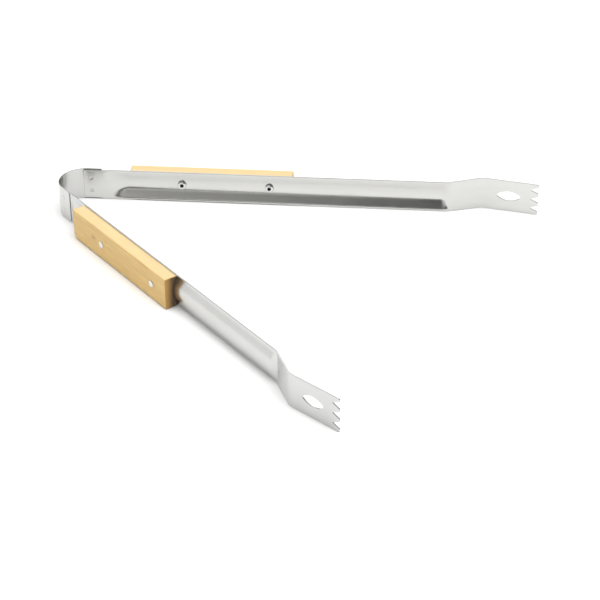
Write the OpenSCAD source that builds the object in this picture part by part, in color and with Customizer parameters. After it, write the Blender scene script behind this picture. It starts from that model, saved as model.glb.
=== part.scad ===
// Spring tongs with riveted wooden handle scales.
// A thin spring strip is bent into a bow and spot welded to two pressed sheet
// arms. Each arm is a shallow gutter that cranks outward and ends in a toothed
// blade with an eye-shaped hole. The tongs stand on their long edges: +X runs
// along the centre line from the bow to the teeth, +Z is across the strip width
// and the arms open towards +Y and -Y. The origin is the bottom centre of the
// bounding box. All lengths are in millimetres.

/* [Bow spring] */
// Inside radius of the bow
bow_r = 18.6; // [12:0.1:30]
// Thickness of the spring strip
bow_t = 0.6; // [0.4:0.1:1.5]
// Width of the spring strip
bow_w = 25; // [18:0.5:35]
// Length of strip welded along each arm, past the end of the curve
leg_len = 10; // [5:0.5:20]
// Gap left where the strip flexes
flex_gap = 0.3; // [0.2:0.05:0.5]

/* [Arms] */
// Half of the opening angle at rest
half_open = 24.6; // [10:0.1:35]
// Thickness of the arm sheet
arm_t = 1.2; // [0.8:0.1:2]
// Width of the tab that is welded to the bow
tab_w = 23; // [16:0.5:30]
// Angle of the tab that follows the curve of the bow
tab_wrap = 13; // [0:1:25]
// Width of the gutter part of the arm
arm_w = 24; // [16:0.1:32]
// Distance from the start of the tab's straight part to the crank
arm_len = 267.3; // [150:0.1:350]
// Depth of the pressed gutter
gutter_d = 3.7; // [1:0.1:7]
// Slope of the gutter's two sides
gutter_slope = 22; // [10:1:40]
// Where the gutter begins
gutter_start = 11; // [5:0.5:40]
// Length over which the gutter runs out at each end
runout = 12; // [6:0.5:30]

/* [Crank and blade] */
// Outward angle of the crank
crank_angle = 18.4; // [5:0.1:35]
// Length of the crank
crank_len = 27.35; // [10:0.05:50]
// Inward angle of the blade
toe_angle = 11.2; // [0:0.1:25]
// Length of the blade
blade_len = 42.3; // [25:0.1:70]
// Width of the blade
blade_w = 25; // [18:0.5:40]
// Inside radius of both bends
bend_r = 9; // [3:0.5:20]
// Number of teeth
teeth = 4; // [2:1:6]
// Depth of the notches between the teeth
tooth_d = 5.6; // [2:0.1:10]
// Width of each tooth at its tip
tooth_tip = 2.6; // [1:0.1:5]
// Length of the eye-shaped hole
eye_l = 18.8; // [8:0.1:30]
// Height of the eye-shaped hole
eye_h = 7.4; // [3:0.1:14]
// Distance from the crank to the hole
eye_start = 10.8; // [5:0.1:25]

/* [Handle scales] */
// Where each wooden scale starts along the arm
scale_start = 30.7; // [20:0.1:60]
// Length of each scale
scale_len = 122; // [60:0.1:160]
// Distance from the gutter's edge plane to the scale's outer face
scale_t = 10; // [7:0.1:16]
// Height of each scale
scale_h = 23.3; // [16:0.1:32]
// Height of the scale's lower edge above the table
scale_z = 0.7; // [0:0.1:4]
// Eased edge of the scale
scale_ease = 1.2; // [0.3:0.1:3]
// Radius of the lower corner at the bow end of the scale
scale_corner = 4; // [1:0.1:8]
// Radius of the upper corner at the bow end of the scale
scale_top_corner = 0.8; // [0.3:0.1:8]

/* [Rivets and welds] */
// First rivet position along the arm
rivet_a = 69.4; // [40:0.1:120]
// Second rivet position along the arm
rivet_b = 135; // [80:0.1:200]
// Shank diameter
rivet_d = 3.6; // [2:0.1:6]
// Head diameter
rivet_head = 5.4; // [4:0.1:10]
// Radial clearance of the shank in its holes
rivet_fit = 0.05; // [0.02:0.01:0.1]
// Diameter of the rolled-over inner end
clinch_d = 6.6; // [5:0.1:10]
// Diameter of each spot weld
weld_d = 3; // [2:0.1:5]
// Distance of the welds from the middle of the strip
weld_z = 5; // [2:0.1:9]
// Position of the welds along the arm
weld_s = 1.6; // [0:0.1:6]

/* [Hidden] */
$fn = 96;
eps = 0.01;
// Small overlap that joins a curved and a straight part of one sheet
lap = 0.05;
steel = [0.78, 0.78, 0.77];
bright = [0.86, 0.86, 0.86];
wood = [0.86, 0.66, 0.40];
mid_z = max(bow_w, blade_w) / 2;

// Arm centre line in the arm's own plane, as the outer surface of the sheet
knee = [arm_len, 0];
heel = knee + crank_len * [cos(crank_angle), sin(crank_angle)];
tip = heel + blade_len * [cos(toe_angle), -sin(toe_angle)];

// Where the curve of the bow meets the arm, seen from the centre of the bow
root = bow_r * [-sin(half_open), cos(half_open)];
function turn(p, a) = [p.x * cos(a) - p.y * sin(a), p.x * sin(a) + p.y * cos(a)];
tip_inner = tip + arm_t * [-sin(toe_angle), -cos(toe_angle)];
tip_x = (root + turn(tip_inner, half_open)).x;
back_x = -(bow_r + bow_t);
bow_x = -(tip_x + back_x) / 2;

// The strip flexes at the middle of its free curve
curve_end = 90 + half_open + tab_wrap;
flex_a = (curve_end + 180) / 2;
gap_a = flex_gap / (bow_r + bow_t / 2) * 90 / PI;

// ---------- placing ----------

// Mirrors a left part to the right side
module side(left) {
  if (left) {
    children();
  } else {
    mirror([0, 1, 0]) children();
  }
}

// Puts a part drawn along the arm into place: X along, Y outward, Z across
module on_arm(left) {
  side(left)
    translate([bow_x + root.x, root.y, 0])
      rotate([0, 0, half_open])
        children();
}

// Extrudes a plan outline over the whole height
module tall(h) {
  translate([0, 0, mid_z - h / 2])
    linear_extrude(height = h)
      children();
}

// Extrudes an outline drawn as along-by-height through the sheet
module through(from, to) {
  translate([0, to, 0])
    rotate([90, 0, 0])
      linear_extrude(height = to - from)
        children();
}

// Extrudes an outline drawn as outward-by-height along the arm
module along(from, to) {
  translate([from, 0, 0])
    rotate([90, 0, 90])
      linear_extrude(height = to - from)
        children();
}

// ---------- bow ----------

// Part of a ring around the centre of the bow
module ring_part(r, t, h, a0, a1) {
  translate([bow_x, 0, mid_z - h / 2])
    rotate([0, 0, a0])
      rotate_extrude(angle = a1 - a0)
        translate([r, 0])
          square([t, h]);
}

module bow_spring() {
  color(steel)
    ring_part(bow_r, bow_t, bow_w, flex_a + gap_a, 360 - flex_a - gap_a);
}

// Strip from the flexing point to its welded end
module spring_leg(left) {
  color(steel)
    difference() {
      union() {
        side(left)
          ring_part(bow_r, bow_t, bow_w, 90 + half_open, flex_a - gap_a);
        on_arm(left)
          tall(bow_w)
            translate([-lap, 0])
              square([leg_len + lap, bow_t]);
      }
      weld_holes(left);
    }
}

// ---------- arm ----------

// Points of a rounded bend at the corner c, between directions a0 and a1
function bend(c, a0, a1, r, n = 8) =
  let (
    d = abs(a1 - a0),
    back = r * tan(d / 2),
    s = sign(a1 - a0),
    start = c - back * [cos(a0), sin(a0)],
    mid = start + s * r * [-sin(a0), cos(a0)]
  )
  [for (i = [0:n])
    let (a = a0 + (a1 - a0) * i / n)
    mid + s * r * [sin(a), -cos(a)]
  ];

// Point where the offset lines of two directions meet at a corner
function off(c, a0, a1, d) =
  c + d / cos((a1 - a0) / 2) * [-sin((a0 + a1) / 2), cos((a0 + a1) / 2)];

// One face of the cranked sheet, d outward of the outer surface
function face(d) = concat(
  [[-lap, d]],
  bend(off(knee, 0, crank_angle, d), 0, crank_angle, bend_r - d + arm_t),
  bend(off(heel, crank_angle, -toe_angle, d), crank_angle, -toe_angle, bend_r + d + arm_t),
  [tip + d * [sin(toe_angle), cos(toe_angle)]]
);
function flip(v) = [for (i = [len(v) - 1:-1:0]) v[i]];

// Plan of the cranked sheet
module sheet_plan() {
  polygon(concat(face(0), flip(face(-arm_t))));
}

// Outline of the arm seen from outside, with its teeth
tooth_pitch = (blade_w - tooth_tip) / (teeth - 1);
notch_x = tip.x - tooth_d;
module arm_outline() {
  zt = tab_w / 2;
  za = arm_w / 2;
  zb = blade_w / 2;
  lower = [
    [-8, -zt], [gutter_start - 2, -zt], [gutter_start + 6, -za],
    [knee.x - 4, -za], [heel.x + 3, -zb], [tip.x - 1.2, -zb]
  ];
  upper = [for (i = [len(lower) - 1:-1:0]) [lower[i].x, -lower[i].y]];
  edge = [
    for (k = [0:teeth - 1])
      let (z = -zb + tooth_tip / 2 + k * tooth_pitch)
      each concat(
        [[tip.x + 1, z - tooth_tip * 0.32], [tip.x + 1, z + tooth_tip * 0.32]],
        k < teeth - 1
          ? [
              [notch_x + 0.4, z + tooth_pitch / 2 - 0.55],
              [notch_x, z + tooth_pitch / 2],
              [notch_x + 0.4, z + tooth_pitch / 2 + 0.55]
            ]
          : []
      )
  ];
  translate([0, mid_z])
    polygon(concat(lower, edge, upper));
}

// Eye-shaped hole made from two crossing circles
module eye() {
  r = (eye_l * eye_l / 4 + eye_h * eye_h / 4) / eye_h;
  translate([heel.x + (eye_start + eye_l / 2) * cos(toe_angle), mid_z])
    intersection() {
      translate([0, r - eye_h / 2])
        circle(r = r);
      translate([0, eye_h / 2 - r])
        circle(r = r);
    }
}

// Section of the gutter's outer surface, moved inward by d: a soft vee
vee_r = 15;
module vee(d) {
  top = gutter_d + vee_r * (1 / cos(gutter_slope) - 1);
  r = vee_r - d;
  arc = [for (i = [-6:6])
    let (a = gutter_slope * i / 6)
    [gutter_d - vee_r + r * cos(a), r * sin(a)]
  ];
  reach = 16;
  drop = top - d / cos(gutter_slope) - reach * tan(gutter_slope);
  translate([0, mid_z])
    polygon(concat([[drop, -reach]], arc, [[drop, reach]]));
}

// Rise of the gutter floor along the arm, moved inward by d
module rise(d) {
  a = gutter_start;
  b = arm_len + 2;
  n = 6;
  h = gutter_d + eps;
  up = [for (i = [0:n]) [a + runout * i / n + d * 0.35 * sin(180 * i / n), h * (1 - cos(180 * i / n)) / 2 - d]];
  down = [for (i = [n:-1:0]) [b - runout * i / n - d * 0.35 * sin(180 * i / n), h * (1 - cos(180 * i / n)) / 2 - d]];
  polygon(concat([[a - 0.5, -9], [a - 0.5, -d]], up, down, [[b + 0.5, -d], [b + 0.5, -9]]));
}

// Bulge of the gutter, as a solid whose outer surface is moved inward by d
module bulge(d, grow = 0) {
  intersection() {
    along(gutter_start - 1 - grow, arm_len + 3)
      vee(d);
    tall(60)
      rise(d);
  }
}

module arm(left) {
  color(steel)
    difference() {
      union() {
        on_arm(left)
          intersection() {
            difference() {
              union() {
                tall(40)
                  sheet_plan();
                intersection() {
                  bulge(0);
                  tall(60)
                    translate([0, -arm_t])
                      square([arm_len + 5, 20]);
                }
              }
              bulge(arm_t);
            }
            through(-12, 24)
              arm_outline();
          }
        side(left)
          ring_part(bow_r - arm_t, arm_t, tab_w, 90 + half_open, curve_end);
      }
      on_arm(left)
        through(-12, 24)
          eye();
      rivet_holes(left);
      weld_holes(left);
    }
}

// ---------- handle scale ----------

module handle_scale(left) {
  e = scale_ease;
  c = scale_corner;
  k = scale_top_corner;
  s0 = scale_start;
  s1 = scale_start + scale_len;
  z0 = scale_z;
  z1 = scale_z + scale_h;
  color(wood)
    difference() {
      on_arm(left)
        difference() {
          intersection() {
            along(s0, s1)
              polygon([
                [-0.2, z0], [scale_t - e, z0], [scale_t - 0.35 * e, z0 + 0.35 * e],
                [scale_t, z0 + e], [scale_t, z1 - e],
                [scale_t - 0.35 * e, z1 - 0.35 * e], [scale_t - e, z1], [-0.2, z1]
              ]);
            through(-1, scale_t + 1)
              polygon(concat(
                [for (i = [0:4]) [s0 + c - c * sin(22.5 * i), z0 + c - c * cos(22.5 * i)]],
                [for (i = [0:4]) [s0 + k - k * cos(22.5 * i), z1 - k + k * sin(22.5 * i)]],
                [[s1 - 0.8, z1], [s1, z1 - 0.8], [s1, z0 + 0.8], [s1 - 0.8, z0]]
              ));
            tall(60)
              polygon([
                [s0, -1], [s1, -1], [s1, scale_t - 0.6], [s1 - 0.6, scale_t],
                [s0 + 0.8, scale_t], [s0, scale_t - 0.8]
              ]);
          }
          along(s0 - 1, s1 + 1)
            vee(-0.02);
        }
      rivet_holes(left);
    }
}

// ---------- fasteners ----------

module across(left, s, z) {
  on_arm(left)
    translate([s, 0, z])
      rotate([-90, 0, 0])
        children();
}

module rivet_holes(left) {
  for (s = [rivet_a, rivet_b]) {
    across(left, s, mid_z)
      translate([0, 0, -4])
        cylinder(d = rivet_d + 2 * rivet_fit, h = scale_t + 8);
  }
}

module weld_holes(left) {
  for (z = [-weld_z, weld_z]) {
    across(left, weld_s, mid_z + z)
      translate([0, 0, -3])
        cylinder(d = weld_d, h = 6);
  }
}

// Semi-tubular rivet: low domed head on the wood, rolled end inside the gutter
floor_in = gutter_d - arm_t;
module rivet(left, s) {
  rs = rivet_d / 2;
  rh = rivet_head / 2;
  rc = clinch_d / 2;
  color(bright)
    across(left, s, mid_z)
      rotate_extrude()
        polygon([
          [0, floor_in + 1.4], [1.1, floor_in + 1.4], [1.2, floor_in - 1.5],
          [1.7, floor_in - 1.85], [2.4, floor_in - 1.9], [3.0, floor_in - 1.6],
          [rc, floor_in - 1.05], [rc - 0.1, floor_in - 0.66], [rc - 0.5, floor_in - 0.48],
          [rs, floor_in - 0.22], [rs, scale_t + 0.02], [rh, scale_t + 0.02],
          [rh - 0.15, scale_t + 0.35], [rh * 0.75, scale_t + 0.62],
          [rh * 0.4, scale_t + 0.78], [0, scale_t + 0.84]
        ]);
}

// Pair of weld nuggets joining the tab to the strip
module spot_welds(left) {
  color(bright)
    for (z = [-weld_z, weld_z]) {
      across(left, weld_s, mid_z + z)
        rotate_extrude()
          polygon([
            [0, -arm_t + 0.18], [weld_d * 0.3, -arm_t + 0.15], [weld_d / 2, -arm_t],
            [weld_d / 2, bow_t], [weld_d * 0.3, bow_t - 0.15], [0, bow_t - 0.18]
          ]);
    }
}

// ---------- assembly ----------

bow_spring();
spring_leg(true);  // left_spring_leg
spring_leg(false);  // right_spring_leg
arm(true);  // left_arm
arm(false);  // right_arm
handle_scale(true);  // left_handle_scale
handle_scale(false);  // right_handle_scale
rivet(true, rivet_a);  // left_rear_rivet
rivet(true, rivet_b);  // left_front_rivet
rivet(false, rivet_a);  // right_rear_rivet
rivet(false, rivet_b);  // right_front_rivet
spot_welds(true);  // left_spot_welds
spot_welds(false);  // right_spot_welds
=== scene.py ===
import math

import bmesh
import bpy
import numpy as np
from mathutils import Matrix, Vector


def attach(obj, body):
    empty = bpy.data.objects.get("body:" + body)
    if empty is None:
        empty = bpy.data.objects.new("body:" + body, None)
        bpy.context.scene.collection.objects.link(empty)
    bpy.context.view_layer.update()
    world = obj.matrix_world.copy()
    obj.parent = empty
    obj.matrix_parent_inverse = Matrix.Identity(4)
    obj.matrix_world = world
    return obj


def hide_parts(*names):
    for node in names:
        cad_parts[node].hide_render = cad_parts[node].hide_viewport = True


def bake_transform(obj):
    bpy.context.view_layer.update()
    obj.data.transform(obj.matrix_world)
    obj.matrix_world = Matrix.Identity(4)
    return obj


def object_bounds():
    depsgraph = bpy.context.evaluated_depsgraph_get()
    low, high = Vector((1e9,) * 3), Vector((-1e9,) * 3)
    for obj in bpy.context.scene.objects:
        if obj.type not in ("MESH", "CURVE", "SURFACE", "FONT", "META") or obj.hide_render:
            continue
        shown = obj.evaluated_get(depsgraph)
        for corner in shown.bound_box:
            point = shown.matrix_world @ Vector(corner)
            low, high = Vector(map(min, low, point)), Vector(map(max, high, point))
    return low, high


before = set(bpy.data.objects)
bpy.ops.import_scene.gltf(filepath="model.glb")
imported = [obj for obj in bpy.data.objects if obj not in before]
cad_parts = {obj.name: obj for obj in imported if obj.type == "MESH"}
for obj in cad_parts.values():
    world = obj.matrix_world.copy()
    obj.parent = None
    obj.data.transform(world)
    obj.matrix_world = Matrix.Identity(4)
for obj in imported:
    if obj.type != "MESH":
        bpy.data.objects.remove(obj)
cad_low, cad_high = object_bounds()

MM = 0.001

# ---------- the tongs' own dimensions, in millimetres ----------

BOW_R, BOW_T, BOW_W = 18.6, 0.6, 25.0
HALF_OPEN = math.radians(24.6)
ARM_T = 1.2
ARM_LEN = 267.3
CRANK_A, CRANK_L = math.radians(18.4), 27.35
TOE_A, BLADE_L = math.radians(11.2), 42.3
BEND_R = 10.2
TAB_W, ARM_W, BLADE_W = 23.0, 24.0, 25.0
TAB_BACK = 4.2
LEG = 10.0
GUTTER_D, GUTTER_A, GUTTER_R = 3.7, math.radians(22), 15.0
GUTTER_START, RUNOUT = 11.0, 12.0
SCALE_START, SCALE_LEN, SCALE_T, SCALE_H, SCALE_Z = 30.7, 122.0, 10.0, 23.3, 0.7
SCALE_CORNER, SCALE_TOP_CORNER = 4.0, 0.7
TEETH, TOOTH_PITCH, TOOTH_HALF, TOOTH_D = 4, 7.467, 1.2, 5.6
EYE_START, EYE_L, EYE_H = 10.8, 18.8, 7.4
RIVETS = (69.4, 135.0)
RIVET_HOLE_R = 1.85
WELD_S, WELD_Z, WELD_HOLE_R = 1.6, 5, 1.5
MID_Z = 12.5
BOW_X = cad_low.x / MM + BOW_R + BOW_T


# ---------- the line of the sheet, by length along its outer surface ----------

def sheet_line(u):
    """Points and outward normals, in the arm's own plane, at lengths u."""
    b1, b2 = BEND_R * math.tan(CRANK_A / 2), BEND_R * math.tan((CRANK_A + TOE_A) / 2)
    parts = [
        (ARM_LEN - b1, 0.0), (BEND_R * CRANK_A, 1 / BEND_R), (CRANK_L - b1 - b2, 0.0),
        (BEND_R * (CRANK_A + TOE_A), -1 / BEND_R), (BLADE_L - b2 + 5, 0.0),
    ]
    u = np.asarray(u, float)
    x, y, a = np.zeros_like(u), np.zeros_like(u), np.zeros_like(u)
    back = u < 0
    t = u[back] / BOW_R
    x[back], y[back], a[back] = BOW_R * np.sin(t), BOW_R * (np.cos(t) - 1), -t
    px = py = pa = p0 = 0.0
    for length, k in parts:
        here = u >= p0 if p0 else u >= 0
        s = np.minimum(u[here] - p0, length)
        if k:
            x[here] = px + (np.sin(pa + k * s) - math.sin(pa)) / k
            y[here] = py - (np.cos(pa + k * s) - math.cos(pa)) / k
        else:
            x[here], y[here] = px + s * math.cos(pa), py + s * math.sin(pa)
        a[here] = pa + k * s
        if k:
            px, py = (px + (math.sin(pa + k * length) - math.sin(pa)) / k,
                      py - (math.cos(pa + k * length) - math.cos(pa)) / k)
        else:
            px, py = px + length * math.cos(pa), py + length * math.sin(pa)
        pa += k * length
        p0 += length
    return np.stack([x, y], -1), np.stack([-np.sin(a), np.cos(a)], -1)


def sheet_length():
    b1, b2 = BEND_R * math.tan(CRANK_A / 2), BEND_R * math.tan((CRANK_A + TOE_A) / 2)
    return (ARM_LEN - b1 + BEND_R * CRANK_A + CRANK_L - b1 - b2
            + BEND_R * (CRANK_A + TOE_A) + BLADE_L - b2)


TOTAL = sheet_length()
HEEL_U = TOTAL - BLADE_L


def soft_min(a, b, r):
    h = np.clip(0.5 + 0.5 * (b - a) / r, 0, 1)
    return b * (1 - h) + a * h - r * h * (1 - h)


def gutter(u, z):
    """How far the pressed gutter stands out of the flat sheet: a rounded vee, softened
    where it meets the flat edges, that rises and runs out along the arm."""
    ta = math.tan(GUTTER_A)
    az = np.abs(z) * 1.04
    knee = GUTTER_R * math.sin(GUTTER_A)
    top = GUTTER_D - GUTTER_R + GUTTER_R / math.cos(GUTTER_A)
    arc = GUTTER_D - GUTTER_R + np.sqrt(np.maximum(GUTTER_R ** 2 - np.minimum(az, knee) ** 2, 0))
    vee = np.where(az < knee, arc, top - az * ta)
    vee = -soft_min(-vee, np.zeros_like(vee), 0.6)
    s = np.minimum((u - GUTTER_START + 2) / (RUNOUT + 10), (ARM_LEN + 5.5 - u) / (RUNOUT - 2.5))
    s = np.clip(s, 0, 1)
    rise = (1 - np.cos(np.pi * s)) / 2
    cut = soft_min(vee, GUTTER_D * rise, 1.6)
    return np.maximum(0.55 * vee * rise + 0.45 * cut, 0) * np.minimum(rise * 8, 1)


def sheet_surface(u, z):
    p, n = sheet_line(u)
    h = gutter(u, z)
    return np.stack([p[:, 0] + n[:, 0] * h, p[:, 1] + n[:, 1] * h, z + MID_Z], -1)


def sheet_point(u, d, z):
    """A point d outward of the sheet's outer surface, with the surface's normal."""
    e = 0.05
    s = sheet_surface(u, z)
    du = sheet_surface(u + e, z) - sheet_surface(u - e, z)
    dz = sheet_surface(u, z + e) - sheet_surface(u, z - e)
    n = np.cross(dz, du)
    n /= np.linalg.norm(n, axis=1)[:, None]
    return s + n * d[:, None], n


def to_row(p, left):
    """From the arm's own frame to the row's frame, in metres."""
    c, s = math.cos(HALF_OPEN), math.sin(HALF_OPEN)
    x = BOW_X - BOW_R * s + p[:, 0] * c - p[:, 1] * s
    y = BOW_R * c + p[:, 0] * s + p[:, 1] * c
    return np.stack([x, y if left else -y, p[:, 2]], -1) * MM


def turn_to_row(n, left):
    c, s = math.cos(HALF_OPEN), math.sin(HALF_OPEN)
    x, y = n[:, 0] * c - n[:, 1] * s, n[:, 0] * s + n[:, 1] * c
    return np.stack([x, y if left else -y, n[:, 2]], -1)


# ---------- outlines ----------

def rounded(points, n=5):
    """A closed outline from (x, y, radius) corners."""
    out = []
    count = len(points)
    for i, (x, y, r) in enumerate(points):
        p = np.array([x, y], float)
        a = np.array(points[i - 1][:2], float) - p
        b = np.array(points[(i + 1) % count][:2], float) - p
        la, lb = np.linalg.norm(a), np.linalg.norm(b)
        a, b = a / la, b / lb
        half = math.acos(max(-1, min(1, float(a @ b)))) / 2
        if r <= 0 or half > math.pi / 2 - 1e-3:
            out.append(tuple(p))
            continue
        reach = min(r / math.tan(half), la * 0.48, lb * 0.48)
        r = reach * math.tan(half)
        mid = p + (a + b) / np.linalg.norm(a + b) * (r / math.sin(half))
        p0, p1 = p + a * reach - mid, p + b * reach - mid
        t0, t1 = math.atan2(p0[1], p0[0]), math.atan2(p1[1], p1[0])
        turn = (t1 - t0 + math.pi) % (2 * math.pi) - math.pi
        for k in range(n + 1):
            t = t0 + turn * k / n
            out.append((mid[0] + r * math.cos(t), mid[1] + r * math.sin(t)))
    return out


def circle(x, y, r, n=28):
    return [(x + r * math.cos(2 * math.pi * k / n), y + r * math.sin(2 * math.pi * k / n))
            for k in range(n)]


def smooth(t):
    t = min(1.0, max(0.0, t))
    return t * t * (3 - 2 * t)


def half_width(u):
    w = TAB_W / 2 + (ARM_W - TAB_W) / 2 * smooth((u - 8) / 10)
    return w + (BLADE_W - ARM_W) / 2 * smooth((u - ARM_LEN + 2) / (CRANK_L + 4))


def arm_outline():
    pts = [(-TAB_BACK, -TAB_W / 2, 0.9)]
    pts += [(u, -half_width(u), 0) for u in
            list(np.linspace(5, 20, 6)) + list(np.linspace(262, 302, 15)) + [TOTAL - 8]]
    for k in range(TEETH):
        z = -BLADE_W / 2 + 1.3 + k * TOOTH_PITCH
        lo, hi = z - TOOTH_HALF, z + TOOTH_HALF
        if k == 0:
            lo = -BLADE_W / 2 + 0.15
        if k == TEETH - 1:
            hi = BLADE_W / 2 - 0.15
        pts += [(TOTAL, lo, 0.75), (TOTAL, hi, 0.75)]
        if k < TEETH - 1:
            v = z + TOOTH_PITCH / 2
            pts += [(TOTAL - TOOTH_D, v - 0.25, 0.55), (TOTAL - TOOTH_D, v + 0.25, 0.55)]
    pts += [(u, half_width(u), 0) for u in
            [TOTAL - 8] + list(np.linspace(302, 262, 15)) + list(np.linspace(20, 5, 6))]
    pts += [(-TAB_BACK, TAB_W / 2, 0.9)]
    return rounded(pts)


def eye_outline():
    """Two arcs that meet in points along the blade."""
    r = (EYE_L ** 2 / 4 + EYE_H ** 2 / 4) / EYE_H
    c = HEEL_U + EYE_START + EYE_L / 2
    half = math.asin(EYE_L / 2 / r)
    low = [(c + r * math.sin(t), -EYE_H / 2 + r - r * math.cos(t))
           for t in np.linspace(-half, half, 18)]
    high = [(-(x - c) + c, -y) for x, y in low]
    return low[1:-1] + high[1:-1]


def weld_holes():
    return [circle(WELD_S, z, WELD_HOLE_R, 20) for z in (-WELD_Z, WELD_Z)]


# ---------- meshes ----------

def new_piece(name, mesh, body, nodes, material, blend=None):
    ob = bpy.data.objects.new(name, mesh)
    bpy.context.scene.collection.objects.link(ob)
    mesh.materials.clear()
    mesh.materials.append(material)
    if blend:
        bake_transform(ob)
    else:
        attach(ob, body)
    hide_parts(*nodes)
    return ob


def flat_plate(outline, holes, thick, edge):
    """A flat plate with eased edges, in (u, z) with its thickness along Y down from 0."""
    cu = bpy.data.curves.new("flat", "CURVE")
    cu.dimensions = "2D"
    cu.fill_mode = "BOTH"
    cu.extrude = thick / 2 - edge
    cu.bevel_depth = edge
    cu.bevel_resolution = 2
    cu.offset = -edge
    for pts in [outline] + holes:
        sp = cu.splines.new("POLY")
        sp.points.add(len(pts) - 1)
        for p, q in zip(sp.points, pts):
            p.co = (q[0], q[1], 0, 1)
        sp.use_cyclic_u = True
    ob = bpy.data.objects.new("flat", cu)
    bpy.context.scene.collection.objects.link(ob)
    dg = bpy.context.evaluated_depsgraph_get()
    me = bpy.data.meshes.new_from_object(ob.evaluated_get(dg))
    bpy.data.objects.remove(ob)
    bpy.data.curves.remove(cu)
    return me


def cut_plate(me, us, zs, thick, keep_from=None):
    """Cuts the plate into a grid of cells, so that it can bend."""
    bm = bmesh.new()
    bm.from_mesh(me)
    bpy.data.meshes.remove(me)
    bmesh.ops.remove_doubles(bm, verts=bm.verts, dist=1e-4)
    for k, u in enumerate(us):
        cut = keep_from is not None and k == 0
        bmesh.ops.bisect_plane(bm, geom=bm.verts[:] + bm.edges[:] + bm.faces[:], dist=1e-5,
                               plane_co=(u, 0, 0), plane_no=(1, 0, 0), clear_inner=cut)
    for z in zs:
        bmesh.ops.bisect_plane(bm, geom=bm.verts[:] + bm.edges[:] + bm.faces[:], dist=1e-5,
                               plane_co=(0, z, 0), plane_no=(0, 1, 0))
    # Filling the outline leaves slanting edges across the lids; the grid does not need them.
    spare = []
    for e in bm.edges:
        if len(e.link_faces) != 2:
            continue
        a, b = e.verts[0].co, e.verts[1].co
        if abs(a.x - b.x) < 1e-4 or abs(a.y - b.y) < 1e-4:
            continue
        lid = thick / 2 if a.z > 0 else -thick / 2
        if all(abs(v.co.z - lid) < 1e-4 for f in e.link_faces for v in f.verts):
            spare.append(e)
    bmesh.ops.dissolve_edges(bm, edges=spare, use_verts=False)
    if keep_from is not None:
        rim = [e for e in bm.edges if e.is_boundary]
        bmesh.ops.holes_fill(bm, edges=rim, sides=0)
    return bm


def bend_plate(bm, name, thick, outer, left, point):
    """Bends the flat plate onto the sheet's surface, with exact normals on its faces."""
    flat = np.array([v.co for v in bm.verts])
    u, z, d = flat[:, 0], flat[:, 1], flat[:, 2] - thick / 2 + outer
    p, n = point(u, d, z)
    row = to_row(p, left)
    nr = turn_to_row(n, left)
    me = bpy.data.meshes.new(name)
    bm.to_mesh(me)
    bm.free()
    me.vertices.foreach_set("co", row.astype(np.float32).ravel())
    grain = me.attributes.new("grain", "FLOAT_VECTOR", "POINT")
    grain.data.foreach_set("vector", np.stack([u, z, d], -1).astype(np.float32).ravel())
    me.update()
    if not lids_face_outward(me, nr, flat, thick):
        me.flip_normals()
    me.update()
    for f in me.polygons:
        f.use_smooth = True
    got = np.array([v.normal for v in me.vertices])
    lid = thick / 2 - 1e-3
    up, down = flat[:, 2] > lid, flat[:, 2] < -lid
    got[up], got[down] = nr[up], -nr[down]
    me.normals_split_custom_set_from_vertices([tuple(v) for v in got])
    return me


def lids_face_outward(me, nr, flat, thick):
    """Whether the faces on the two lids already look away from the plate."""
    score = 0.0
    for f in list(me.polygons)[::7]:
        zs = [flat[i, 2] for i in f.vertices]
        if min(zs) > thick / 2 - 1e-3:
            score += f.normal.dot(Vector(nr[f.vertices[0]]))
        elif max(zs) < -thick / 2 + 1e-3:
            score -= f.normal.dot(Vector(nr[f.vertices[0]]))
    return score > 0


def make_arm(left, material):
    side = "left" if left else "right"
    holes = [eye_outline()]
    holes += [circle(r, 0, RIVET_HOLE_R) for r in RIVETS]
    holes += weld_holes()
    me = flat_plate(arm_outline(), holes, ARM_T, 0.18)
    us = (list(np.arange(-4, 10, 1.2)) + list(np.arange(10.4, 33, 0.8))
          + list(np.arange(35, 252, 4.5)) + list(np.arange(253, 273.2, 0.8))
          + list(np.arange(274.5, HEEL_U - 3, 2.4)) + list(np.arange(HEEL_U - 3, HEEL_U + 4, 0.6))
          + list(np.arange(HEEL_U + 5, TOTAL, 2.2)))
    zs = list(np.linspace(-12.35, 12.35, 27))
    bm = cut_plate(me, us, zs, ARM_T)
    me = bend_plate(bm, side + "_arm_sheet", ARM_T, 0.0, left, sheet_point)
    return new_piece(side + "_arm_sheet", me, side + "_half", [side + "_arm"],
                     material)


def make_strip(left, material):
    side = "left" if left else "right"
    back = -BOW_R * (math.pi / 2 - HALF_OPEN)
    w = BOW_W / 2
    outline = rounded([(back - 2, -w, 0), (LEG, -w, 1.6), (LEG, w, 1.6), (back - 2, w, 0)], 8)
    me = flat_plate(outline, weld_holes(), BOW_T, 0.25)
    us = [back] + list(np.linspace(back, 0, 34)[1:]) + [2, 4, 6]
    bm = cut_plate(me, us, [-10, -5, 0, 5, 10], BOW_T, keep_from=back)
    me = bend_plate(bm, side + "_bow_strip", BOW_T, BOW_T, left, sheet_point)
    ends = [Vector((BOW_X * MM - (BOW_R + BOW_T / 2) * MM, 0, MID_Z * MM))]
    tab, _ = sheet_point(np.array([-TAB_BACK]), np.array([BOW_T / 2]), np.array([0.0]))
    ends.append(Vector(to_row(tab, left)[0]))
    return new_piece(side + "_bow_strip", me, ("bow", side + "_half"),
                     [side + "_spring_leg", "bow_spring"], material,
                     blend=(tuple(ends[0]), tuple(ends[1])))


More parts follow.
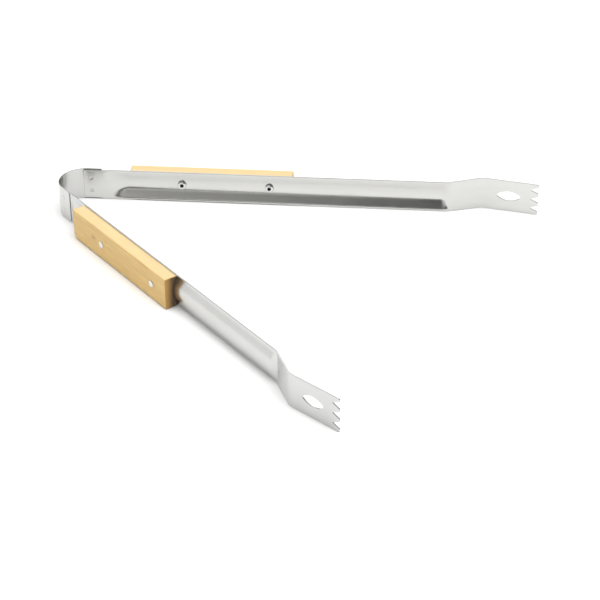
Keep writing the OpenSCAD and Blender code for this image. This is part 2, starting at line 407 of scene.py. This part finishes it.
def scale_ring(s, inset):
    """Section of a handle scale at s, as outward-by-height points."""
    t = s - SCALE_START

    def corner(c):
        return c - math.sqrt(max(0.0, c * c - max(0.0, c - t) ** 2)) if t < c else 0.0

    z0 = SCALE_Z + inset + corner(SCALE_CORNER)
    z1 = SCALE_Z + SCALE_H - inset - corner(SCALE_TOP_CORNER)
    out = SCALE_T - inset
    e = 1.15
    pts = []
    for k in range(7):
        a = math.pi / 2 * k / 6
        pts.append((out - e + e * math.sin(a), z1 - e + e * math.cos(a)))
    for k in range(1, 8):
        f = k / 8
        crown = 0.10 * math.sin(math.pi * f)
        pts.append((out - 0.10 + crown, z1 - e - (z1 - z0 - 2 * e) * f))
    for k in range(7):
        a = math.pi / 2 * k / 6
        pts.append((out - e + e * math.cos(a), z0 + e - e * math.sin(a)))
    n_in = 0.35
    pts.append(((out - e + n_in) / 2, z0))
    pts.append((n_in + 0.25, z0))
    pts.append((n_in, z0 + 0.2))
    ta = math.tan(GUTTER_A)
    knee = GUTTER_R * math.sin(GUTTER_A)
    top = GUTTER_D - GUTTER_R + GUTTER_R / math.cos(GUTTER_A)
    half = (z1 - z0) / 2 - 0.35
    mid = (z0 + z1) / 2
    for k in range(17):
        z = mid - half + 2 * half * k / 16
        az = abs(z - MID_Z)
        v = (GUTTER_D - GUTTER_R + math.sqrt(GUTTER_R ** 2 - az * az) if az < knee
             else top - az * ta)
        pts.append((max(v + 0.03, n_in), z))
    pts.append((n_in, z1 - 0.2))
    pts.append((n_in + 0.25, z1))
    pts.append(((out - e + n_in) / 2, z1))
    return pts


def make_scale(left, material):
    side = "left" if left else "right"
    s0, s1 = SCALE_START, SCALE_START + SCALE_LEN
    # (length along the arm, how far the section is drawn in there)
    stations = [(s0, 0.75), (s0 + 0.08, 0.46), (s0 + 0.28, 0.2), (s0 + 0.6, 0.05), (s0 + 1.0, 0.0)]
    stations += [(s0 + t, 0.0) for t in (1.6, 2.3, 3.0, 3.6)]
    stations += [(s, 0.0) for s in np.linspace(s0 + 6, s1 - 4, 40)]
    stations += [(s1 - 0.9, 0.0), (s1 - 0.5, 0.05), (s1 - 0.22, 0.17), (s1 - 0.06, 0.36)]
    stations += [(s1, 0.6)]
    rings = [[(s, n, z) for n, z in scale_ring(s, inset)] for s, inset in stations]
    count = len(rings[0])
    pts = np.array([p for r in rings for p in r])
    faces = []
    for i in range(len(rings) - 1):
        for k in range(count):
            a, b = i * count + k, i * count + (k + 1) % count
            faces.append((a, b, b + count, a + count))
    last = (len(rings) - 1) * count
    faces += [tuple(range(count))[::-1], tuple(range(last, last + count))]
    me = bpy.data.meshes.new(side + "_scale_wood")
    row = to_row(pts, left)
    me.from_pydata([tuple(v) for v in row], [], faces)
    me.update()
    bm = bmesh.new()
    bm.from_mesh(me)
    bmesh.ops.recalc_face_normals(bm, faces=bm.faces)
    bm.to_mesh(me)
    bm.free()
    grain = me.attributes.new("grain", "FLOAT_VECTOR", "POINT")
    grain.data.foreach_set("vector", pts.astype(np.float32).ravel())
    for f in me.polygons:
        f.use_smooth = True
    me.set_sharp_from_angle(angle=math.radians(32))
    return new_piece(side + "_scale_wood", me, side + "_half", [side + "_handle_scale"],
                     material)


def revolve(profile, n=48):
    """A closed solid turned about Y from (radius, y) points that start and end on the axis."""
    pts, faces = [], []
    rows = []
    for r, y in profile:
        if r < 1e-6:
            rows.append([len(pts)])
            pts.append((0.0, y, 0.0))
        else:
            rows.append(list(range(len(pts), len(pts) + n)))
            pts += [(r * math.cos(2 * math.pi * k / n), y, r * math.sin(2 * math.pi * k / n))
                    for k in range(n)]
    for a, b in zip(rows, rows[1:]):
        for k in range(n):
            j = (k + 1) % n
            if len(a) == 1 and len(b) == 1:
                continue
            if len(a) == 1:
                faces.append((a[0], b[k], b[j]))
            elif len(b) == 1:
                faces.append((a[k], b[0], a[j]))
            else:
                faces.append((a[k], b[k], b[j], a[j]))
    return np.array(pts), faces


def make_rivet(left, s, name, material):
    side = "left" if left else "right"
    f = GUTTER_D - ARM_T
    # (radius, height over the gutter's floor) of the hollow, the rolled end and the shank.
    inner = [(0, 1.15), (0.8, 1.12), (1.16, 1.0), (1.2, 0.4), (1.22, -0.8), (1.26, -1.35),
             (1.36, -1.66), (1.62, -1.84), (1.95, -1.9), (2.3, -1.88), (2.62, -1.78),
             (2.9, -1.6), (3.12, -1.36), (3.25, -1.1), (3.27, -0.9), (3.2, -0.72),
             (2.95, -0.55), (2.4, -0.4), (1.9, -0.26), (1.8, -0.1)]
    # (radius, height over the wood) of the head.
    head = [(1.8, -0.1), (1.9, 0.02), (2.5, 0.02), (2.62, 0.05), (2.69, 0.14), (2.67, 0.27),
            (2.56, 0.38), (2.35, 0.5), (1.95, 0.64), (1.35, 0.76), (0.7, 0.82), (0, 0.84)]
    prof = [(r, f + y) for r, y in inner] + [(r, SCALE_T + y) for r, y in head]
    pts, faces = revolve(prof)
    # The rolled end is not quite round or level.
    rng = np.random.default_rng(int(s) + (3 if left else 5))
    ang = np.arctan2(pts[:, 2], pts[:, 0])
    rad = np.hypot(pts[:, 0], pts[:, 2])
    lip = (pts[:, 1] < f - 0.3) & (rad > 1.3)
    ph = rng.uniform(0, 6.28, 3)
    wob = 0.05 * np.sin(2 * ang + ph[0]) + 0.03 * np.sin(5 * ang + ph[1])
    pts[lip, 1] += wob[lip] * 0.8
    grow = 1 + wob * 0.3
    pts[lip, 0] *= grow[lip]
    pts[lip, 2] *= grow[lip]
    grain = pts.copy()
    pts = pts + np.array([s, 0, MID_Z])
    me = bpy.data.meshes.new(name)
    me.from_pydata([tuple(v) for v in to_row(pts, left)], [], faces)
    bm = bmesh.new()
    bm.from_mesh(me)
    bmesh.ops.recalc_face_normals(bm, faces=bm.faces)
    bm.to_mesh(me)
    bm.free()
    att = me.attributes.new("grain", "FLOAT_VECTOR", "POINT")
    att.data.foreach_set("vector", grain.astype(np.float32).ravel())
    for p in me.polygons:
        p.use_smooth = True
    me.set_sharp_from_angle(angle=math.radians(50))
    return new_piece(name + "_metal", me, side + "_half", [name], material)


# ---------- materials ----------

class Nodes:
    """Short forms for building a material's nodes."""

    def __init__(self, name):
        self.mat = bpy.data.materials.new(name)
        self.mat.use_nodes = True
        self.tree = self.mat.node_tree
        self.tree.nodes.clear()
        out = self.add("ShaderNodeOutputMaterial")
        self.bsdf = self.add("ShaderNodeBsdfPrincipled")
        self.link(self.bsdf.outputs[0], out.inputs["Surface"])

    def add(self, kind, **props):
        n = self.tree.nodes.new(kind)
        for k, v in props.items():
            setattr(n, k, v)
        return n

    def link(self, a, b):
        self.tree.links.new(a, b)

    def put(self, socket, value):
        if hasattr(value, "is_output"):
            self.link(value, socket)
        else:
            socket.default_value = value

    def coords(self, name="grain"):
        return self.add("ShaderNodeAttribute", attribute_name=name).outputs["Vector"]

    def mapped(self, vec, scale, loc=(0, 0, 0), rot=(0, 0, 0)):
        n = self.add("ShaderNodeMapping")
        self.link(vec, n.inputs["Vector"])
        n.inputs["Scale"].default_value = scale
        n.inputs["Location"].default_value = loc
        n.inputs["Rotation"].default_value = rot
        return n.outputs[0]

    def noise(self, vec, scale=1.0, detail=3.0, rough=0.5, distort=0.0):
        n = self.add("ShaderNodeTexNoise")
        self.link(vec, n.inputs["Vector"])
        n.inputs["Scale"].default_value = scale
        n.inputs["Detail"].default_value = detail
        n.inputs["Roughness"].default_value = rough
        n.inputs["Distortion"].default_value = distort
        return n.outputs["Fac"]

    def math(self, op, a, b=0.0):
        n = self.add("ShaderNodeMath", operation=op)
        self.put(n.inputs[0], a)
        self.put(n.inputs[1], b)
        return n.outputs[0]

    def fit(self, v, a0, a1, b0, b1):
        n = self.add("ShaderNodeMapRange", clamp=True)
        self.put(n.inputs[0], v)
        for i, x in enumerate((a0, a1, b0, b1)):
            n.inputs[i + 1].default_value = x
        return n.outputs[0]

    def ramp(self, v, stops):
        n = self.add("ShaderNodeValToRGB")
        self.link(v, n.inputs[0])
        el = n.color_ramp.elements
        while len(el) < len(stops):
            el.new(0.5)
        for e, (pos, col) in zip(el, stops):
            e.position = pos
            e.color = (*col, 1)
        return n.outputs[0]

    def mix(self, fac, a, b, mode="MIX"):
        n = self.add("ShaderNodeMix", data_type="RGBA", blend_type=mode)
        self.put(n.inputs[0], fac)
        for sock, v in ((n.inputs[6], a), (n.inputs[7], b)):
            if hasattr(v, "is_output"):
                self.link(v, sock)
            else:
                sock.default_value = (*v, 1)
        return n.outputs[2]

    def bump(self, height, strength, distance):
        n = self.add("ShaderNodeBump")
        n.inputs["Strength"].default_value = strength
        n.inputs["Distance"].default_value = distance
        self.link(height, n.inputs["Height"])
        return n.outputs[0]

    def split(self, vec):
        n = self.add("ShaderNodeSeparateXYZ")
        self.link(vec, n.inputs[0])
        return n.outputs


def steel(name, tone, rough, brush, seed=0.0):
    """Polished sheet with fine lengthwise brushing, faint scratches and handling smears."""
    n = Nodes(name)
    g = n.coords()
    fine = n.noise(n.mapped(g, (0.05, 7.0, 7.0), (seed, 0, 0)), 1.0, 4, 0.65)
    wide = n.noise(n.mapped(g, (0.012, 1.3, 1.3), (seed * 2, 3, 1)), 1.0, 3, 0.6)
    smear = n.noise(n.mapped(g, (0.035, 0.10, 0.1), (5 + seed, 2, 0)), 1.0, 3, 0.55, 0.6)
    hair = n.noise(n.mapped(g, (0.03, 2.6, 2.6), (seed, 9, 4), (0, 0, 0.05)), 1.0, 2, 0.5)
    scratch = n.fit(hair, 0.70, 0.74, 0.0, 1.0)
    base = n.mix(n.fit(wide, 0.35, 0.65, 0.0, 1.0), tuple(t * 0.965 for t in tone), tone)
    base = n.mix(n.fit(smear, 0.45, 0.7, 0.0, 0.35), base, tuple(t * 0.94 for t in tone))
    n.link(base, n.bsdf.inputs["Base Color"])
    r = n.math("ADD", n.fit(fine, 0.3, 0.7, rough * 0.82, rough * 1.2),
               n.fit(smear, 0.4, 0.75, 0.0, 0.07))
    r = n.math("ADD", r, n.math("MULTIPLY", scratch, 0.06))
    n.link(r, n.bsdf.inputs["Roughness"])
    n.bsdf.inputs["Metallic"].default_value = 1.0
    h = n.math("ADD", n.math("MULTIPLY", fine, 0.6), n.math("MULTIPLY", wide, 0.5))
    h = n.math("SUBTRACT", h, n.math("MULTIPLY", scratch, 0.25))
    n.link(n.bump(h, brush, 0.00006), n.bsdf.inputs["Normal"])
    return n.mat


def rivet_metal():
    """Turned bright metal with small dents, with painted shade inside the hollow end."""
    n = Nodes("rivet_metal")
    g = n.coords()
    xyz = n.split(g)
    radius = n.math("SQRT", n.math("ADD", n.math("MULTIPLY", xyz[0], xyz[0]),
                                   n.math("MULTIPLY", xyz[2], xyz[2])))
    spin = n.add("ShaderNodeCombineXYZ")
    n.link(radius, spin.inputs[0])
    n.link(xyz[1], spin.inputs[1])
    turned = n.noise(spin.outputs[0], 9.0, 3, 0.6)
    dent = n.noise(g, 0.9, 3, 0.55)
    col = n.mix(n.fit(dent, 0.35, 0.65, 0, 1), (0.60, 0.60, 0.595), (0.70, 0.70, 0.695))
    # Painted shade inside the rivet's hollow end.
    inside = n.math("MULTIPLY", n.fit(radius, 1.2, 1.5, 1.0, 0.0),
                    n.fit(xyz[1], 4.0, 4.2, 1.0, 0.0))
    n.link(n.mix(n.math("MULTIPLY", inside, 0.85), col, (0.05, 0.045, 0.04)),
           n.bsdf.inputs["Base Color"])
    n.bsdf.inputs["Metallic"].default_value = 1.0
    n.link(n.math("ADD", n.fit(turned, 0.35, 0.65, 0.14, 0.26), n.fit(dent, 0.45, 0.7, 0.0, 0.06)),
           n.bsdf.inputs["Roughness"])
    h = n.math("ADD", n.math("MULTIPLY", turned, 0.3), n.math("MULTIPLY", dent, 0.7))
    n.link(n.bump(h, 0.5, 0.00012), n.bsdf.inputs["Normal"])
    return n.mat


def weld_metal():
    """Slightly matt, finely pitted steel."""
    n = Nodes("weld_metal")
    co = n.add("ShaderNodeTexCoord").outputs["Object"]
    speck = n.noise(co, 1400.0, 4, 0.6)
    n.link(n.mix(n.fit(speck, 0.3, 0.7, 0, 1), (0.54, 0.54, 0.53), (0.62, 0.62, 0.61)),
           n.bsdf.inputs["Base Color"])
    n.bsdf.inputs["Metallic"].default_value = 1.0
    n.link(n.fit(speck, 0.3, 0.7, 0.22, 0.36), n.bsdf.inputs["Roughness"])
    n.link(n.bump(speck, 0.4, 0.0001), n.bsdf.inputs["Normal"])
    return n.mat


def wood(name, seed, knot):
    """Pale hardwood: long growth bands, fine fibres, flecks and one small knot."""
    n = Nodes(name)
    g = n.coords()
    xyz = n.split(g)
    # The knot bends the fibres round it.
    dx = n.math("MULTIPLY", n.math("SUBTRACT", xyz[0], knot[0]), 0.42)
    dz = n.math("SUBTRACT", xyz[2], knot[1])
    rr = n.math("ADD", n.math("MULTIPLY", dx, dx), n.math("MULTIPLY", dz, dz))
    near = n.math("POWER", 2.718, n.math("MULTIPLY", rr, -0.16))
    push = n.math("MULTIPLY", n.math("MULTIPLY", near, 1.6), n.math("SIGN", dz))
    bent = n.add("ShaderNodeCombineXYZ")
    n.link(xyz[0], bent.inputs[0])
    n.link(xyz[1], bent.inputs[1])
    n.link(n.math("SUBTRACT", xyz[2], push), bent.inputs[2])
    v = bent.outputs[0]
    drift = n.noise(n.mapped(v, (0.014, 0.10, 0.10), (seed, 0, 0)), 1.0, 2, 0.5)
    cross = n.math("ADD", n.math("MULTIPLY", n.split(v)[2], 0.33), n.math("MULTIPLY", xyz[1], 0.21))
    line = n.math("ADD", cross, n.math("MULTIPLY", drift, 6.5))
    band = n.noise(n.mapped(v, (0.004, 0.0, 0.0), (seed + 3, 0, 0)), 1.0, 1, 0.5)
    wave = n.math("SINE", n.math("MULTIPLY", n.math("ADD", line, band), 2.6))
    late = n.math("POWER", n.fit(wave, -1.0, 1.0, 0.0, 1.0), 2.2)
    fibre = n.noise(n.mapped(v, (0.045, 3.2, 3.2), (seed, 1, 2)), 1.0, 5, 0.62)
    fleck = n.noise(n.mapped(v, (0.22, 2.1, 2.1), (seed, 7, 5)), 1.0, 2, 0.5)
    flecks = n.fit(fleck, 0.62, 0.70, 0.0, 1.0)
    patch = n.noise(n.mapped(v, (0.03, 0.12, 0.12), (seed + 8, 4, 1)), 1.0, 2, 0.5)
    col = n.ramp(fibre, [(0.30, (0.45, 0.295, 0.088)), (0.5, (0.665, 0.450, 0.147)),
                         (0.70, (0.81, 0.59, 0.222))])
    col = n.mix(n.math("MULTIPLY", late, 0.30), col, (0.55, 0.335, 0.115))
    col = n.mix(n.fit(patch, 0.38, 0.62, 0.0, 0.42), col, (0.62, 0.38, 0.13))
    col = n.mix(n.math("MULTIPLY", flecks, 0.30), col, (0.42, 0.235, 0.10))
    core = n.fit(rr, 0.25, 1.9, 1.0, 0.0)
    col = n.mix(n.math("MULTIPLY", core, 0.65), col, (0.33, 0.155, 0.055))
    ring = n.math("MULTIPLY", n.fit(rr, 1.2, 5.5, 1.0, 0.0), 0.28)
    col = n.mix(ring, col, (0.50, 0.27, 0.10))
    # End grain is coloured darker than the long faces: partly its own colour, partly painted shade
    # that keeps the end faces dark under the key light.
    e0 = n.fit(xyz[0], SCALE_START, SCALE_START + 1.0, 1.0, 0.0)
    e1 = n.fit(xyz[0], SCALE_START + SCALE_LEN - 0.5, SCALE_START + SCALE_LEN, 0.0, 1.0)
    ends = n.math("MAXIMUM", e0, e1)
    pores = n.noise(n.mapped(g, (0.0, 3.4, 3.4), (0, seed, 0)), 1.0, 3, 0.6)
    end_grain_and_shade = n.ramp(pores, [(0.3, (0.29, 0.145, 0.040)), (0.62, (0.53, 0.285, 0.075))])
    # Painted light: the long top and bottom faces are mixed paler than the broad face, standing for
    # the brighter light falling on the top.
    rim = n.fit(n.math("ABSOLUTE", n.math("SUBTRACT", xyz[2], 12.4)), 11.0, 11.5, 0.0, 0.40)
    col = n.mix(rim, col, (0.80, 0.66, 0.43))
    col = n.mix(n.math("MULTIPLY", ends, 0.88), col, end_grain_and_shade)
    # Painted shade: the ends darken towards the steel, where the end face lies in the shade of the
    # corner.
    painted_corner_shade = n.math("MULTIPLY", ends, n.fit(xyz[1], 4.0, 8.2, 0.9, 0.0))
    col = n.mix(painted_corner_shade, col, (0.07, 0.045, 0.025))
    n.link(col, n.bsdf.inputs["Base Color"])
    n.link(n.math("ADD", n.fit(fibre, 0.3, 0.7, 0.50, 0.40), n.math("MULTIPLY", ends, 0.2)),
           n.bsdf.inputs["Roughness"])
    n.bsdf.inputs["Specular IOR Level"].default_value = 0.6
    h = n.math("SUBTRACT", n.math("MULTIPLY", fibre, 0.8), n.math("MULTIPLY", late, 0.35))
    h = n.math("SUBTRACT", h, n.math("MULTIPLY", flecks, 0.6))
    n.link(n.bump(h, 0.5, 0.00022), n.bsdf.inputs["Normal"])
    return n.mat


def floor_material():
    n = Nodes("table_white")
    n.bsdf.inputs["Base Color"].default_value = (0.93, 0.93, 0.93, 1)
    n.bsdf.inputs["Roughness"].default_value = 0.75
    n.bsdf.inputs["Specular IOR Level"].default_value = 0.1
    return n.mat


# Painted light: the left (far) arm's steel is paler than the right arm's, though both are the same
# metal, standing for the brighter light on the left arm.
arm_metal = {True: steel("arm_metal_left", (0.60, 0.598, 0.578), 0.17, 0.20, 1.0),
             False: steel("arm_metal_right", (0.565, 0.565, 0.555), 0.17, 0.20, 7.0)}
strip_metal = steel("strip_metal", (0.585, 0.582, 0.572), 0.15, 0.18, 13.0)
rivets = rivet_metal()
welds = weld_metal()

# Noise offset and the knot's place (length, height) on each scale.
wood_looks = {True: (2.0, (96.0, 6.0)), False: (11.0, (59.0, 13.6))}

for left in (True, False):
    side = "left" if left else "right"
    make_arm(left, arm_metal[left])
    make_strip(left, strip_metal)
    make_scale(left, wood(side + "_wood", *wood_looks[left]))
    make_rivet(left, RIVETS[0], side + "_rear_rivet", rivets)
    make_rivet(left, RIVETS[1], side + "_front_rivet", rivets)
    weld = bpy.data.objects[side + "_spot_welds"]
    for i in range(len(weld.material_slots)):
        weld.material_slots[i].material = welds

# ---------- table, light and camera ----------

bm = bmesh.new()
bmesh.ops.create_grid(bm, x_segments=8, y_segments=8, size=6.0)
table_mesh = bpy.data.meshes.new("table")
bm.to_mesh(table_mesh)
bm.free()
table = bpy.data.objects.new("table", table_mesh)
table.location = (0, 0, cad_low.z - 0.00005)
bpy.context.scene.collection.objects.link(table)
table_mesh.materials.append(floor_material())


def area_light(name, place, size, power):
    """A square light aimed at the middle of the tongs; the steel reflects only the room."""
    data = bpy.data.lights.new(name, "AREA")
    data.shape = "RECTANGLE"
    data.size = data.size_y = size
    data.energy = power
    ob = bpy.data.objects.new(name, data)
    ob.location = place
    ob.rotation_euler = (-Vector(place)).to_track_quat("-Z", "Y").to_euler()
    ob.visible_glossy = False
    bpy.context.scene.collection.objects.link(ob)


area_light("key", (1.3, 0.15, 1.5), 1.4, 21.3)
area_light("top", (0.1, -0.35, 2.0), 1.6, 24.2)

world = bpy.data.worlds.new("studio")
bpy.context.scene.world = world
world.use_nodes = True
wt = world.node_tree
wt.nodes.clear()
wout = wt.nodes.new("ShaderNodeOutputWorld")
wbg = wt.nodes.new("ShaderNodeBackground")
wt.links.new(wbg.outputs[0], wout.inputs[0])
wco = wt.nodes.new("ShaderNodeTexCoord")
wsep = wt.nodes.new("ShaderNodeSeparateXYZ")
wt.links.new(wco.outputs["Generated"], wsep.inputs[0])


def wmath(op, a, b):
    m = wt.nodes.new("ShaderNodeMath")
    m.operation = op
    for s, v in zip(m.inputs, (a, b)):
        if hasattr(v, "is_output"):
            wt.links.new(v, s)
        else:
            s.default_value = v
    return m.outputs[0]


def wfit(v, a0, a1, b0, b1):
    m = wt.nodes.new("ShaderNodeMapRange")
    m.interpolation_type = "SMOOTHSTEP"
    wt.links.new(v, m.inputs[0])
    for i, x in enumerate((a0, a1, b0, b1)):
        m.inputs[i + 1].default_value = x
    return m.outputs[0]


def wmul(a, b):
    return wmath("MULTIPLY", a, b)


def wdim(value, mask, share):
    """value, less the given share of it where the mask is 1."""
    return wmul(value, wmath("SUBTRACT", 1.0, wmul(mask, share)))


# The room's brightness by direction: bright to the left and overhead, greyer to the right.
dx, dy, dz = wsep.outputs[0], wsep.outputs[1], wsep.outputs[2]
room = wfit(dx, -0.95, 0.7, 0.86, 0.42)
room = wmath("ADD", room, wfit(dz, 0.55, 0.9, 0.0, 0.30))

# Low behind the tongs stands a dark wall.
behind = wfit(wmath("ADD", wmul(dx, -0.485), wmul(dy, 0.874)), 0.35, 0.75, 0.0, 1.0)
wall = wmul(behind, wfit(dz, 0.15, 0.45, 0.68, 0.0))
room = wmul(room, wmath("SUBTRACT", 1.0, wall))

# Halfway up it is dimmer everywhere but behind and at the far left.
middle = wmul(wfit(dz, 0.10, 0.25, 0.0, 1.0), wfit(dz, 0.70, 0.90, 1.0, 0.0))
middle = wmul(middle, wmath("SUBTRACT", 1.0, behind))
middle = wmul(middle, wfit(dx, -0.8, -0.5, 0.0, 1.0))
room = wdim(room, middle, 0.5)

# A bright band high up behind lights the sheets' upper edges.
high = wmul(wfit(dz, 0.36, 0.50, 0.0, 1.0), wfit(dz, 0.62, 0.80, 1.0, 0.0))
room = wmath("ADD", room, wmul(wmul(high, behind), 0.8))

# Low in front it is darker, and darkest at one place a little to the right.
toward = wmath("ADD", wmul(dx, 0.36), wmul(dy, -0.93))
front = wmul(wfit(toward, 0.35, 0.75, 0.0, 1.0), wfit(dz, 0.30, 0.50, 1.0, 0.0))
room = wdim(room, front, 0.25)
slant = wmath("DIVIDE", dx, wmath("MAXIMUM", wmul(dy, -1.0), 0.05))
room = wmul(room, wmath("ADD", 1.0, wmul(front, wfit(slant, 0.29, 0.46, 1.55, 0.0))))
core = wmul(wfit(slant, 0.38, 0.48, 0.0, 1.0), wfit(slant, 0.8, 1.2, 1.0, 0.0))
room = wdim(room, wmul(core, front), 0.80)
wt.links.new(room, wbg.inputs["Strength"])
wbg.inputs["Color"].default_value = (1, 1, 0.99, 1)

IMAGE_SIZE, FOCAL_LENGTH = 600.0, 1873.3  # both in pixels
SENSOR = 36.0
CAMERA_AT = (0.59135, -0.9881, 0.6853)
AZIMUTH, HEIGHT = math.radians(29.02), math.radians(32.12)

cam_data = bpy.data.cameras.new("camera")
cam_data.sensor_width = SENSOR
cam_data.lens = SENSOR * FOCAL_LENGTH / IMAGE_SIZE
cam_data.clip_start, cam_data.clip_end = 0.05, 20
cam = bpy.data.objects.new("camera", cam_data)
bpy.context.scene.collection.objects.link(cam)
bpy.context.scene.camera = cam
forward = Vector((-math.sin(AZIMUTH) * math.cos(HEIGHT), math.cos(AZIMUTH) * math.cos(HEIGHT),
                  -math.sin(HEIGHT)))
cam.location = CAMERA_AT
cam.rotation_euler = forward.to_track_quat("-Z", "Y").to_euler()

scene = bpy.context.scene
scene.view_settings.view_transform = "Standard"
scene.view_settings.look = "None"
scene.view_settings.exposure = 0.0
